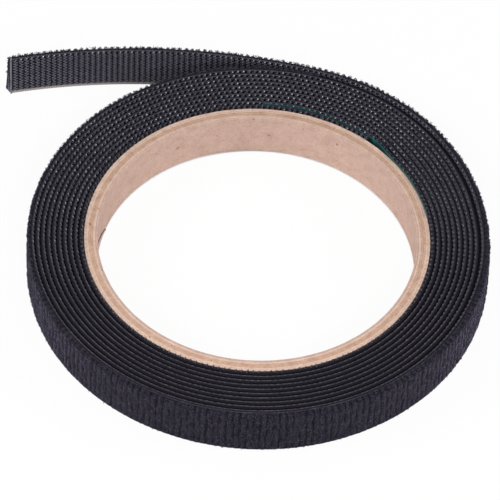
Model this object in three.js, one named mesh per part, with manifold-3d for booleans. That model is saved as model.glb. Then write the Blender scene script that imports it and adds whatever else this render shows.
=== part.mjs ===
// A roll of back-to-back hook and loop tape on a spiral-wound paperboard core, its free end lifted.
// Millimetres. +Z runs up the roll's axis, and the roll stands on the tape's lower edge at z = 0.
// The origin is on that plane, in the middle of the footprint of roll and free end together.

import * as THREE from 'three';
import { mergeVertices } from 'three/addons/utils/BufferGeometryUtils.js';
import Module from 'manifold-3d';

// Paperboard core, from its bore outwards.
const CORE_BORE = 76.2;
const CORE_SETBACK = 0.45; // from the tape's edge, at each end
const LINER_THICKNESS = 0.45;
const BODY_PLY_THICKNESS = 0.5;
const BODY_PLIES = 4;
const WRAP_THICKNESS = 0.45;
const GLUE_LINE = 0.06;

// Butt seam of the liner, which winds up the bore.
const SEAM_WIDTH = 0.4;
const SEAM_ANGLE = 182; // at half height
const SEAM_SLANT = 64; // from the vertical, rising anticlockwise

// Tape: hook tape inside, loop tape outside, bonded back to back.
const TAPE_WIDTH = 12.5;
const HOOK_THICKNESS = 0.7;
const BOND_LINE = 0.04;
const LOOP_THICKNESS = 0.36;

// Film that sticks the tape's inner end to the core. It sets the gap between turns.
const FILM_THICKNESS = 0.08;
const FILM_CLEARANCE = 0.06;
const FILM_SETBACK = 0.25; // from the tape's edge, at each end
const FILM_REACH = 40; // degrees to each side of the tape's inner end

// Winding, with angles in degrees counted anticlockwise from +X.
const START_ANGLE = 52;
const PEEL_ANGLE = 76;
const FULL_TURNS = 10;
const FLATS_PER_TURN = 45;
const CLIMB_BEFORE = 12; // each turn climbs over the one below ahead of the inner end
const CLIMB_BEFORE_GROWTH = 4;
const CLIMB_AFTER_GROWTH = 1.5;
const PEEL_SLACK = 0.7; // how far the outermost turn stands off at the peel line
const SLACK_ANGLE = 150;

// Free end of the tape, past the peel line, in lengths that bend at slits.
const TAIL_LENGTH = 76.3;
const TAIL_RADIUS = 150;
const TAIL_PIECES = 6;
const TAIL_FACETS = 2;
const SLIT_WIDTH = 0.3;

const LINER_FINISH = { color: 0xc8a287, roughness: 0.9, metalness: 0 };
const BOARD_FINISH = { color: 0xa9805a, roughness: 0.92, metalness: 0 };
const WRAP_FINISH = { color: 0xcfab85, roughness: 0.9, metalness: 0 };
const FILM_FINISH = { color: 0x1e6f74, roughness: 0.35, metalness: 0 };
const HOOK_FINISH = { color: 0x2a2830, roughness: 0.6, metalness: 0 };
const LOOP_FINISH = { color: 0x231f28, roughness: 0.95, metalness: 0 };

// Sizes that follow from those above.
const BORE_RADIUS = CORE_BORE / 2;
const CORE_HEIGHT = TAPE_WIDTH - 2 * CORE_SETBACK;
const BODY_PITCH = BODY_PLY_THICKNESS + GLUE_LINE;
const BODY_RADIUS = BORE_RADIUS + LINER_THICKNESS + GLUE_LINE;
const WRAP_RADIUS = BODY_RADIUS + BODY_PLIES * BODY_PITCH;
const CORE_RADIUS = WRAP_RADIUS + WRAP_THICKNESS;
const TAPE_THICKNESS = HOOK_THICKNESS + BOND_LINE + LOOP_THICKNESS;
const TURN_GAP = FILM_THICKNESS + 2 * FILM_CLEARANCE;
const TURN_PITCH = TAPE_THICKNESS + TURN_GAP;
const FIRST_TURN_RADIUS = CORE_RADIUS + TURN_GAP;
const FLAT_ANGLE = 360 / FLATS_PER_TURN;
const WOUND_ANGLE = FULL_TURNS * 360 + PEEL_ANGLE - START_ANGLE;
const TAIL_PIECE_LENGTH = TAIL_LENGTH / TAIL_PIECES;

const { degToRad, radToDeg, smoothstep } = THREE.MathUtils;
const wasm = await Module();
wasm.setup();

function named(name, geometry, finish) {
  const mesh = new THREE.Mesh(geometry, new THREE.MeshStandardMaterial(finish));
  mesh.name = name;
  return mesh;
}

function toSolid(geometry) {
  const bare = geometry.clone();
  bare.deleteAttribute('normal');
  bare.deleteAttribute('uv');
  const merged = mergeVertices(bare);
  const vertProperties = new Float32Array(merged.attributes.position.array);
  const triVerts = new Uint32Array(merged.index.array);
  return new wasm.Manifold(new wasm.Mesh({ numProp: 3, vertProperties, triVerts }));
}

function cutAway(geometry, cutter) {
  const { vertProperties, triVerts } = toSolid(geometry).subtract(toSolid(cutter)).getMesh();
  const result = new THREE.BufferGeometry();
  result.setAttribute('position', new THREE.BufferAttribute(vertProperties, 3));
  result.setIndex(new THREE.BufferAttribute(triVerts, 1));
  result.computeVertexNormals();
  return result;
}

// One ply of the core: a ring whose flats line up with those of the winding around it.
function ringPly(innerRadius, thickness) {
  const profile = new THREE.Path()
    .moveTo(innerRadius, 0)
    .lineTo(innerRadius + thickness, 0)
    .lineTo(innerRadius + thickness, CORE_HEIGHT)
    .lineTo(innerRadius, CORE_HEIGHT)
    .closePath();
  const firstFlat = degToRad(START_ANGLE + 90);
  const ring = new THREE.LatheGeometry(profile.getPoints(), FLATS_PER_TURN, firstFlat);
  return ring.rotateX(Math.PI / 2).translate(0, 0, CORE_SETBACK);
}

function seamedLiner() {
  const slitReach = 2 * CORE_HEIGHT / Math.cos(degToRad(SEAM_SLANT));
  const slit = new THREE.BoxGeometry(CORE_HEIGHT, SEAM_WIDTH, slitReach)
    .rotateX(-degToRad(SEAM_SLANT))
    .translate(BORE_RADIUS, 0, CORE_SETBACK + CORE_HEIGHT / 2)
    .rotateZ(degToRad(SEAM_ANGLE));
  return cutAway(ringPly(BORE_RADIUS, LINER_THICKNESS), slit);
}

function buildCore() {
  const core = new THREE.Group();
  core.add(named('core_inner_liner', seamedLiner(), LINER_FINISH));
  for (let ply = 0; ply < BODY_PLIES; ply += 1) {
    const body = ringPly(BODY_RADIUS + ply * BODY_PITCH, BODY_PLY_THICKNESS);
    core.add(named(`core_ply_${ply + 1}`, body, BOARD_FINISH));
  }
  core.add(named('core_outer_wrap', ringPly(WRAP_RADIUS, WRAP_THICKNESS), WRAP_FINISH));
  return core;
}

// How far the winding has risen above its first turn, at an angle from the tape's inner end.
function windingRise(turned) {
  let rise = PEEL_SLACK * smoothstep(turned, WOUND_ANGLE - SLACK_ANGLE, WOUND_ANGLE);
  for (let turn = 1; turn <= FULL_TURNS; turn += 1) {
    const climbStart = turn * 360 - CLIMB_BEFORE - (turn - 1) * CLIMB_BEFORE_GROWTH;
    const climbEnd = turn * 360 + (turn - 1) * CLIMB_AFTER_GROWTH;
    rise += TURN_PITCH * smoothstep(turned, climbStart, climbEnd);
  }
  return rise;
}

// A station is a point on the tape's inner face, with the direction out through its thickness.
function woundStation(turned) {
  const angle = degToRad(START_ANGLE + turned);
  const outward = new THREE.Vector2(Math.cos(angle), Math.sin(angle));
  const point = outward.clone().multiplyScalar(FIRST_TURN_RADIUS + windingRise(turned));
  return { point, outward };
}

// A station part of the way along the flat between two of the winding's own.
function flatStation(turned) {
  const flat = Math.floor(turned / FLAT_ANGLE);
  const share = turned / FLAT_ANGLE - flat;
  const { point, outward } = woundStation(flat * FLAT_ANGLE);
  const next = woundStation((flat + 1) * FLAT_ANGLE);
  return { point: point.lerp(next.point, share), outward: outward.lerp(next.outward, share) };
}

// The winding's own stations, strictly between two angles.
function stationsBetween(from, to) {
  const stations = [];
  for (let flat = Math.floor(from / FLAT_ANGLE) + 1; flat * FLAT_ANGLE < to; flat += 1) {
    stations.push(woundStation(flat * FLAT_ANGLE));
  }
  return stations;
}

// The free end leaves the roll along its tangent and keeps turning the same way, on a wider arc.
function tailStation(along) {
  const peel = woundStation(WOUND_ANGLE);
  const outward = peel.outward.clone().rotateAround(new THREE.Vector2(), along / TAIL_RADIUS);
  const point = peel.point
    .clone()
    .addScaledVector(peel.outward, -TAIL_RADIUS)
    .addScaledVector(outward, TAIL_RADIUS);
  return { point, outward };
}

function tailStations(from, to) {
  const stations = [];
  for (let facet = 0; facet <= TAIL_FACETS; facet += 1) {
    stations.push(tailStation(from + (to - from) * facet / TAIL_FACETS));
  }
  return stations;
}

// A strip that stands on edge along its stations, between two depths through the tape.
function strip(stations, innerDepth, outerDepth, width) {
  const offset = (depth) => ({ point, outward }) => point.clone().addScaledVector(outward, depth);
  const innerSide = stations.map(offset(innerDepth));
  const outerSide = stations.map(offset(outerDepth)).reverse();
  const outline = new THREE.Shape([...innerSide, ...outerSide]);
  return new THREE.ExtrudeGeometry(outline, { depth: width, bevelEnabled: false });
}

function hookStrip(stations) {
  return strip(stations, 0, HOOK_THICKNESS, TAPE_WIDTH);
}

function loopStrip(stations) {
  return strip(stations, HOOK_THICKNESS + BOND_LINE, TAPE_THICKNESS, TAPE_WIDTH);
}

// The film lies on the core, climbs over the tape's inner end and lies on the first turn.
function buildStarterFilm() {
  const from = 360 - FILM_REACH;
  const to = 360 + FILM_REACH;
  const stations = [flatStation(from), ...stationsBetween(from, to), flatStation(to)];
  const filmInner = -FILM_CLEARANCE - FILM_THICKNESS;
  const width = TAPE_WIDTH - 2 * FILM_SETBACK;
  const film = strip(stations, filmInner, -FILM_CLEARANCE, width).translate(0, 0, FILM_SETBACK);
  return named('starter_film', film, FILM_FINISH);
}

function buildWoundTape() {
  const peelRadius = FIRST_TURN_RADIUS + windingRise(WOUND_ANGLE);
  const halfSlit = radToDeg(SLIT_WIDTH / 2 / peelRadius);
  const end = WOUND_ANGLE - halfSlit;
  const stations = [woundStation(0), ...stationsBetween(0, end), woundStation(end)];
  const tape = new THREE.Group();
  tape.add(named('hook_tape_wound', hookStrip(stations), HOOK_FINISH));
  tape.add(named('loop_tape_wound', loopStrip(stations), LOOP_FINISH));
  return tape;
}

// Each length of the free end hangs on the one before it, at a hinge in the middle of the slit.
function buildTail() {
  const tail = new THREE.Group();
  const lastHinge = new THREE.Vector2();
  let carrier = tail;
  for (let number = 1; number <= TAIL_PIECES; number += 1) {
    const from = (number - 1) * TAIL_PIECE_LENGTH;
    const to = number * TAIL_PIECE_LENGTH;
    const { point, outward } = tailStation(from);
    const hinge = point.addScaledVector(outward, TAPE_THICKNESS / 2);
    const endSlit = number < TAIL_PIECES ? SLIT_WIDTH / 2 : 0;
    const stations = tailStations(from + SLIT_WIDTH / 2, to - endSlit);

    const link = new THREE.Group();
    link.name = `tail_link_${number}`;
    link.position.set(hinge.x - lastHinge.x, hinge.y - lastHinge.y, 0);
    const hook = hookStrip(stations).translate(-hinge.x, -hinge.y, 0);
    const loop = loopStrip(stations).translate(-hinge.x, -hinge.y, 0);
    link.add(named(`hook_tape_tail_${number}`, hook, HOOK_FINISH));
    link.add(named(`loop_tape_tail_${number}`, loop, LOOP_FINISH));

    carrier.add(link);
    carrier = link;
    lastHinge.copy(hinge);
  }
  return tail;
}

const roll = new THREE.Group();
roll.add(buildCore(), buildStarterFilm(), buildWoundTape(), buildTail());

const footprint = new THREE.Box3().setFromObject(roll, true);
const middle = footprint.getCenter(new THREE.Vector3());
roll.position.set(-middle.x, -middle.y, -footprint.min.z);

const tapeRoll = new THREE.Group();
tapeRoll.add(roll);

export default tapeRoll;
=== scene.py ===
import math

import bmesh
import bpy
import numpy as np
from mathutils import Matrix, Vector


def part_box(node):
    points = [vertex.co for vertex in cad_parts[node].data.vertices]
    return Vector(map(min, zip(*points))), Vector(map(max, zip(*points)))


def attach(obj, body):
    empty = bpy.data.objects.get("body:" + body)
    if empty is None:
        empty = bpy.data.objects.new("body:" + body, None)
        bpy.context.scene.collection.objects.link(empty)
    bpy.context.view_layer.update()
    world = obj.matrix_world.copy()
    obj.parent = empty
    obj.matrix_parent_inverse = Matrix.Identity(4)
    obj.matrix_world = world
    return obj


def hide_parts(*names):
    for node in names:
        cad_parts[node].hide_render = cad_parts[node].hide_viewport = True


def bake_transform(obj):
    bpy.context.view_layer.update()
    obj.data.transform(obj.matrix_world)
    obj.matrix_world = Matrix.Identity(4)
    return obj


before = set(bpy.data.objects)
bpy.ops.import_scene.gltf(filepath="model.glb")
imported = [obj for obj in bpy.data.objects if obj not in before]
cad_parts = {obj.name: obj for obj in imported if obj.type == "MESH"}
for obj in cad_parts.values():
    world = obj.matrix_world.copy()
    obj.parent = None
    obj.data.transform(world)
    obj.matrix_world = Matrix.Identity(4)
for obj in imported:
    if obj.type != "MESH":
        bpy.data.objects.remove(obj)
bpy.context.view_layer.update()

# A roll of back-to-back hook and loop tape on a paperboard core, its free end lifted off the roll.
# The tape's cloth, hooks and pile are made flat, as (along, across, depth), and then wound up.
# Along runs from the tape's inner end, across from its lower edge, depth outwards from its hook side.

MM = 0.001

# Winding, as in the solids. Angles are in degrees, anticlockwise from +X.
START_ANGLE = 52
PEEL_ANGLE = 76
FULL_TURNS = 10
TURN_GAP = 0.2 * MM
TURN_PITCH = 1.3 * MM
CLIMB_BEFORE = 12
CLIMB_BEFORE_GROWTH = 4
CLIMB_AFTER_GROWTH = 1.5
PEEL_SLACK = 0.7 * MM
SLACK_ANGLE = 150
FILM_REACH = 40
WOUND_ANGLE = FULL_TURNS * 360 + PEEL_ANGLE - START_ANGLE
MIDDLE_TURN = 6
PATH_STEP = 0.25
RANDOM_SEED = 52

# Free end, in the lengths between its hinges.
TAIL_RADIUS = 150 * MM
TAIL_PIECES = 6
TAIL_PIECE_LENGTH = 76.3 * MM / TAIL_PIECES

# Depths through the tape.
HOOK_CLOTH = (0.44 * MM, 0.72 * MM)
LOOP_CLOTH = (0.72 * MM, 0.98 * MM)
PRESSED_PILE = (0.98 * MM, 1.3 * MM)
PRESSED_PILE_SINK = 0.9 * MM
PRESSED_PILE_ROUNDING = 0.1 * MM
PRESSED_PILE_ROUGHNESS = 0.1 * MM
PRESSED_PILE_GRAIN = 0.9 * MM
CLOTH_ROUNDING = 0.1 * MM
HOOK_CLOTH_INSET = 0.1 * MM
LOOP_CLOTH_INSET = 0.3 * MM

# Hooks stand in ribs across the tape and lean to either side by turns.
RIB_PITCH = 1.36 * MM
HOOK_PITCH = 0.47 * MM
HOOK_TOP_EDGE = 0.66 * MM
HOOK_LOW_EDGE = 1.15 * MM
HOOK_WIRE = 0.24 * MM
HOOK_BREADTH = 1.8
HOOK_STEM = 0.16 * MM
HOOK_REACH = 0.52 * MM
HOOK_CURL = 170
HOOK_SIZES = (0.88, 1.1)
HOOK_TWIST = 0.16
HOOK_ROOT = 0.05 * MM
RIB_FOOT = (0.42 * MM, 0.3 * MM)
RIB_FOOT_OVERLAP = 1.04
RIB_FOOT_DEPTH = 0.4 * MM
RIB_END = (0.36 * MM, 0.36 * MM, 0.36 * MM)
RIB_END_DEPTH = 0.32 * MM
RIB_END_EDGE = 0.43 * MM
RIB_END_SLANT = 0.4
# Painted glints: the rib-end knobs shrink on the side of the roll facing this angle, where fewer glints
# show.
GLINT_FADE_ANGLE = -15
GLINT_FADE_SHARE = 0.4
GLINT_FADE_FALL = 6
KNOB_TWIST = 0.35
KNOB_DRIFT = (0.06 * MM, 0.04 * MM)
EDGE_KNOT = (0.52 * MM, 0.8 * MM, 0.8 * MM)
EDGE_KNOT_DEPTH = 0.35 * MM
EDGE_KNOT_EDGE = 0.17 * MM
EDGE_KNOT_SLANT = -0.5
EDGE_CORD = (0.27 * MM, 0.45 * MM)
EDGE_CORD_EDGES = (0.26 * MM, 0.07 * MM)
EDGE_CORD_ROUNDING = 0.08 * MM
INNER_RIBS = (0.05 * MM, 0.44 * MM)
INNER_RIB_EDGES = (0.9 * MM, 1.7 * MM)
RIB_EDGE_ROWS = 2

# Weft yarn that turns round the edges of the cloth.
TURN_STEP = 0.68 * MM
TURN_YARN = 0.15 * MM
TURN_BEND = 0.12 * MM
TURN_BREADTH = 2.3
TURN_SIZES = (0.86, 1.05)
TURN_SLANT = 0.25

# Loop pile: napped columns across the tape, fullest at the front of the roll.
PILE_COLUMN = 1.5 * MM
PILE_BODY = 0.31 * MM
PILE_RIDGE = 0.32 * MM
PILE_LUMP = 0.09 * MM
PILE_LUMP_SIZES = (0.6 * MM, 1.3 * MM)
COARSE_LUMP_SHARE = 0.7
PILE_DRIFT = 0.3 * MM
PILE_DRIFT_SIZE = 1.1 * MM
PILE_EDGES = (0.35 * MM, 0.55 * MM)
PILE_EDGE_LEAST = 0.04
PILE_SINK = 0.02 * MM
PILE_INSET = 0.1 * MM
FURROW_RISE = 0.6
MATTED_SHARE = 0.7
MATTED_SIZE = 0.9 * MM
MATTED_RISE = 0.6
EVENED_SHARE = 0.25
EVENED_REACH = 2.5 * MM
PILE_FULLNESS = 0.75 * MM
FULLEST_ANGLE = -70
FULLNESS_FALL = 1.5
FULLNESS_RISE = (95, 150)
PILE_LOOP = 0.21 * MM
PILE_FIBRE = 0.085 * MM
PILE_LOOPS_PER_MM2 = 5.0
LOOP_SIZES = (0.65, 1.3)
LOOP_TWIST = 0.5
LOOP_LEAN = 0.5
LOOP_CURL = 190
LOOP_CREST = 0.3
LOOP_SINK = 0.08 * MM
LOOP_EDGES = (0.4 * MM, 0.1 * MM)
LOOP_LOWEST = 0.02 * MM
# Painted shading of the loose loops: lighter or darker at random per loop, and darker in the furrows.
LOOP_PAINTED_SHADING = (0.2, 1.5)
EDGE_LEAN = 1.4
EDGE_LEAN_REACH = 0.9 * MM
TUFT_LOOPS = 16
TUFT_SIZES = (0.9, 1.5)
TUFT_TILTS = (0.5, 1.5)
TUFT_SPREAD = 0.24 * MM
TUFT_EDGES = (-0.05 * MM, 0.4 * MM)
TUFT_DEPTH = 0.5 * MM
# Painted shading of the tufts, the pressed pile and the pile's body: higher values paint the pile lighter,
# the tufts lit, the body shaded in its furrows.
TUFT_PAINTED_SHADING = (0.2, 1.7)
PRESSED_PAINTED_SHADING = 0.5
BODY_PAINTED_SHADING = 0.75

# Free end of the pile, frayed, and drawn out in a bulge above its rounded lower corner.
PILE_OVERHANG = 0.5 * MM
FRAY_REACH = 0.6 * MM
FRAY = 0.18 * MM
FRAY_SIZE = 0.7 * MM
BULGE = 0.35 * MM
BULGE_HEIGHTS = (0.8 * MM, 5 * MM)
ROUNDED_CORNER = 0.5 * MM
ROUNDED_CORNER_HEIGHT = 0.7 * MM

# Shifts, in metres, that take two patterns to unrelated parts of the same noise.
MATTED_SHIFT = 3.0
LUMP_SHIFT = 7.0

# How finely the strips are cut along and across, and the pieces that the outer loops make.
TAPE_STEP = 0.8 * MM
PILE_STEP = 0.3 * MM
PILE_CUTS = 40
OUTER_LOOP_PIECES = 3

tape_low, tape_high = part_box("hook_tape_wound")
TAPE_WIDTH = tape_high.z - tape_low.z
core_low, core_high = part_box("core_outer_wrap")
film_low, film_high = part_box("starter_film")


def plan_corners(node):
    """The corners of a core ring, seen from above."""
    points = np.array([vert.co[:2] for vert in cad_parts[node].data.vertices])
    return np.unique(points.round(7), axis=0)


ROLL_AXIS = plan_corners("core_outer_wrap").mean(axis=0)


def ring_radii(node):
    """Bore and outer radius of a core ring. Half of its corners lie on each."""
    reach = np.linalg.norm(plan_corners(node) - ROLL_AXIS, axis=1)
    return np.quantile(reach, (0.25, 0.75))


CORE_RADIUS = ring_radii("core_outer_wrap")[1]
FIRST_TURN_RADIUS = CORE_RADIUS + TURN_GAP
rng = np.random.default_rng(RANDOM_SEED)


# The tape's path


def smooth_rise(value, low, high):
    """0 up to low, 1 from high on, and a smooth rise between them."""
    share = np.clip((value - low) / (high - low), 0, 1)
    return share * share * (3 - 2 * share)


def winding_rise(turned):
    """How far the winding has risen above its first turn, at an angle from the tape's inner end."""
    rise = PEEL_SLACK * smooth_rise(turned, WOUND_ANGLE - SLACK_ANGLE, WOUND_ANGLE)
    for turn in range(1, FULL_TURNS + 1):
        climb_start = turn * 360 - CLIMB_BEFORE - (turn - 1) * CLIMB_BEFORE_GROWTH
        climb_end = turn * 360 + (turn - 1) * CLIMB_AFTER_GROWTH
        rise = rise + TURN_PITCH * smooth_rise(turned, climb_start, climb_end)
    return rise


def outward_at(angle):
    """The direction away from the roll's axis at an angle in radians."""
    return np.stack([np.cos(angle), np.sin(angle)], axis=-1)


def wound_point(turned):
    """A point on the tape's hook face in the winding, from the roll's axis."""
    radius = FIRST_TURN_RADIUS + winding_rise(turned)
    return radius[..., None] * outward_at(np.radians(START_ANGLE + turned))


path_turned = np.arange(0, WOUND_ANGLE + PATH_STEP / 2, PATH_STEP)
path_steps = np.linalg.norm(np.diff(wound_point(path_turned), axis=0), axis=1)
path_length = np.concatenate([[0], np.cumsum(path_steps)])
WOUND_LENGTH = path_length[-1]
WOUND_END = WOUND_LENGTH - TAIL_PIECE_LENGTH / 2
FIRST_TURN_END, MIDDLE_TURN_END = np.interp((360, MIDDLE_TURN * 360), path_turned, path_length)
OUTER_TURN_START = np.interp(WOUND_ANGLE - 360, path_turned, path_length)


def facing(along, angle):
    """1 where the winding faces the given angle and 0 on the far side of the roll."""
    turned = np.interp(along, path_length, path_turned)
    return (1 + np.cos(np.radians(START_ANGLE + turned - angle))) / 2


def tape_stations(along):
    """Points on the tape's hook face, with the directions out through its depth."""
    turned = np.interp(along, path_length, path_turned)
    past = np.maximum(along - WOUND_LENGTH, 0) / TAIL_RADIUS
    outward = outward_at(np.radians(START_ANGLE + turned) + past)
    peel_outward = outward_at(np.radians(START_ANGLE + WOUND_ANGLE))
    tail_bend = TAIL_RADIUS * (outward - peel_outward)
    points = wound_point(turned) + np.where(past[..., None] > 0, tail_bend, 0)
    return points + ROLL_AXIS, outward


def wind_up(flat):
    """Takes points on the flat tape to their places on the roll."""
    points, outward = tape_stations(flat[:, 0])
    level = points + outward * flat[:, 2:3]
    return np.column_stack([level, tape_low.z + flat[:, 1]])


# Meshes


def coordinates(mesh):
    """A mesh's points, one in each row."""
    values = np.empty(len(mesh.vertices) * 3)
    mesh.vertices.foreach_get("co", values)
    return values.reshape(-1, 3)


def place(mesh, points):
    """Moves a mesh's points."""
    mesh.vertices.foreach_set("co", points.ravel())
    mesh.update()


def store_uv(mesh, along_and_across):
    """Keeps with each corner its place on the flat tape, for the finishes."""
    corners = np.empty(len(mesh.loops), dtype=np.int32)
    mesh.loops.foreach_get("vertex_index", corners)
    layer = mesh.uv_layers.new(name="tape")
    layer.data.foreach_set("uv", along_and_across[corners].astype(np.float32).ravel())


def store_pile_shading(mesh, crest):
    """Keeps with each point a value that the pile's finish turns into painted shade and light: low in the
    furrows, higher on the crests and the tufts.
    """
    layer = mesh.attributes.new("nap", "FLOAT", "POINT")
    layer.data.foreach_set("value", crest.astype(np.float32))


def to_mesh(bm, name):
    """Ends the work on a shape, with its faces turned outwards."""
    bmesh.ops.recalc_face_normals(bm, faces=bm.faces)
    mesh = bpy.data.meshes.new(name)
    bm.to_mesh(mesh)
    bm.free()
    return mesh


def make_piece(name, mesh, finish, faceted=False):
    """Makes a mesh, already in its place, a piece of the roll with a finish."""
    mesh.name = name
    mesh.polygons.foreach_set("use_smooth", np.full(len(mesh.polygons), not faceted))
    mesh.materials.clear()
    mesh.materials.append(finish)
    piece = bpy.data.objects.new(name, mesh)
    bpy.context.collection.objects.link(piece)
    return piece


def tape_piece(name, mesh, finish, faceted=False):
    """Winds a flat mesh up with the tape and makes a piece of it."""
    flat = coordinates(mesh)
    store_uv(mesh, flat[:, :2])
    place(mesh, wind_up(flat))
    return make_piece(name, mesh, finish, faceted)


def array_of(template, count, pitch=(0, 0, 0)):
    """Copies of a small mesh in a row, and their points by copy."""
    row = bpy.data.objects.new("row", template)
    bpy.context.collection.objects.link(row)
    array = row.modifiers.new("row", "ARRAY")
    array.use_relative_offset = False
    array.use_constant_offset = True
    array.constant_offset_displace = pitch
    array.count = count
    bpy.context.view_layer.update()
    depsgraph = bpy.context.evaluated_depsgraph_get()
    mesh = bpy.data.meshes.new_from_object(row.evaluated_get(depsgraph))
    bpy.data.objects.remove(row)
    return mesh, coordinates(mesh).reshape(count, -1, 3)


def strip(start, end, step, low, high, depths, rounding=0, cuts=0, inner_cuts=0):
    """A flat strip in short steps along its length, its edges rounded and its faces cut across."""
    inner, outer = depths
    bm = bmesh.new()
    corners = [
        bm.verts.new((start, across, depth))
        for across, depth in ((low, inner), (high, inner), (high, outer), (low, outer))
    ]
    bm.faces.new(corners)
    if rounding:
        bmesh.ops.bevel(
            bm, geom=corners, offset=rounding, affect="VERTICES", segments=2, profile=0.5, material=-1
        )
    by_depth = sorted(bm.edges, key=lambda edge: sum(vert.co.z for vert in edge.verts))
    for edge, face_cuts in ((by_depth[0], inner_cuts), (by_depth[-1], cuts)):
        if face_cuts:
            bmesh.ops.subdivide_edges(bm, edges=[edge], cuts=face_cuts)
    bmesh.ops.delete(bm, geom=bm.faces[:], context="FACES_ONLY")
    drawn = bmesh.ops.extrude_edge_only(bm, edges=bm.edges[:])["geom"]
    far_end = [part for part in drawn if isinstance(part, bmesh.types.BMVert)]
    bmesh.ops.translate(bm, verts=far_end, vec=(end - start, 0, 0))
    bmesh.ops.holes_fill(bm, edges=[edge for edge in bm.edges if edge.is_boundary], sides=0)
    steps = max(4, math.ceil(math.sqrt((end - start) / step)) ** 2)
    for _ in range(2):
        cuts_each = round(math.sqrt(steps)) - 1
        lengthwise = [
            edge for edge in bm.edges if abs(edge.verts[0].co.x - edge.verts[1].co.x) > step / 2
        ]
        bmesh.ops.subdivide_edges(bm, edges=lengthwise, cuts=cuts_each, use_grid_fill=True)
    return to_mesh(bm, "strip")


def bent_wire(wire, sides, stem, bend_radius, curl, steps, base):
    """A wire that rises towards lower depth and then curls over towards +X."""
    bm = bmesh.new()
    ring = bmesh.ops.create_circle(bm, segments=sides, radius=wire / 2)["verts"]
    bmesh.ops.rotate(bm, verts=ring, cent=(0, 0, 0), matrix=Matrix.Rotation(math.pi / sides, 3, "Z"))
    bmesh.ops.translate(bm, verts=ring, vec=(0, 0, base))
    edges = bm.edges[:]
    if stem:
        raised = bmesh.ops.extrude_edge_only(bm, edges=edges)["geom"]
        tops = [part for part in raised if isinstance(part, bmesh.types.BMVert)]
        bmesh.ops.translate(bm, verts=tops, vec=(0, 0, -stem))
        edges = [part for part in raised if isinstance(part, bmesh.types.BMEdge)]
        edges = [edge for edge in edges if edge.verts[0] in tops and edge.verts[1] in tops]
    bmesh.ops.spin(
        bm,
        geom=edges + list({vert for edge in edges for vert in edge.verts}),
        axis=(0, 1, 0),
        cent=(bend_radius, 0, base - stem),
        dvec=(0, 0, 0),
        angle=-math.radians(curl),
        steps=steps,
        use_merge=False,
    )
    bmesh.ops.holes_fill(bm, edges=[edge for edge in bm.edges if edge.is_boundary], sides=0)
    return bm


def value_noise(points, size):
    """Smooth noise from -1 to 1 at points, by mixing random values on a grid of that size."""
    cells = points / size
    corner = np.floor(cells).astype(np.int64)
    share = cells - corner
    share = share * share * (3 - 2 * share)
    total = np.zeros(len(points))
    for offset in np.ndindex(*(2,) * points.shape[1]):
        weight = np.prod(np.where(offset, share, 1 - share), axis=1)
        total += weight * random_at(corner + np.array(offset))
    return total


def random_at(cells):
    """A repeatable random value from -1 to 1 for each grid cell."""
    steps = np.array([374761393, 668265263, 2147483647])[: cells.shape[1]]
    seed = (cells * steps).sum(axis=1) & 0xFFFFFFFF
    seed = ((seed ^ (seed >> 13)) * 1274126177) & 0xFFFFFFFF
    seed = (seed ^ (seed >> 16)) & 0xFFFF
    return seed / 32767.5 - 1


# Finishes


def linear(red, green, blue):
    """A colour as it is seen, 0 to 255, in the shader's own scale."""
    values = np.array([red, green, blue]) / 255
    low = values / 12.92
    high = ((values + 0.055) / 1.055) ** 2.4
    return (*np.where(values <= 0.04045, low, high).tolist(), 1)


def shaded(colour, share):
    """A colour with only a share of its light."""
    return (*(share * part for part in colour[:3]), 1)


def joined(tree, operation, first, second):
    """The result of a math node on two values, each a number or a socket."""
    math_node = tree.nodes.new("ShaderNodeMath")
    math_node.operation = operation
    for target, value in zip(math_node.inputs, (first, second)):
        if isinstance(value, (int, float)):
            target.default_value = value
        else:
            tree.links.new(value, target)
    return math_node.outputs["Value"]


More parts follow.
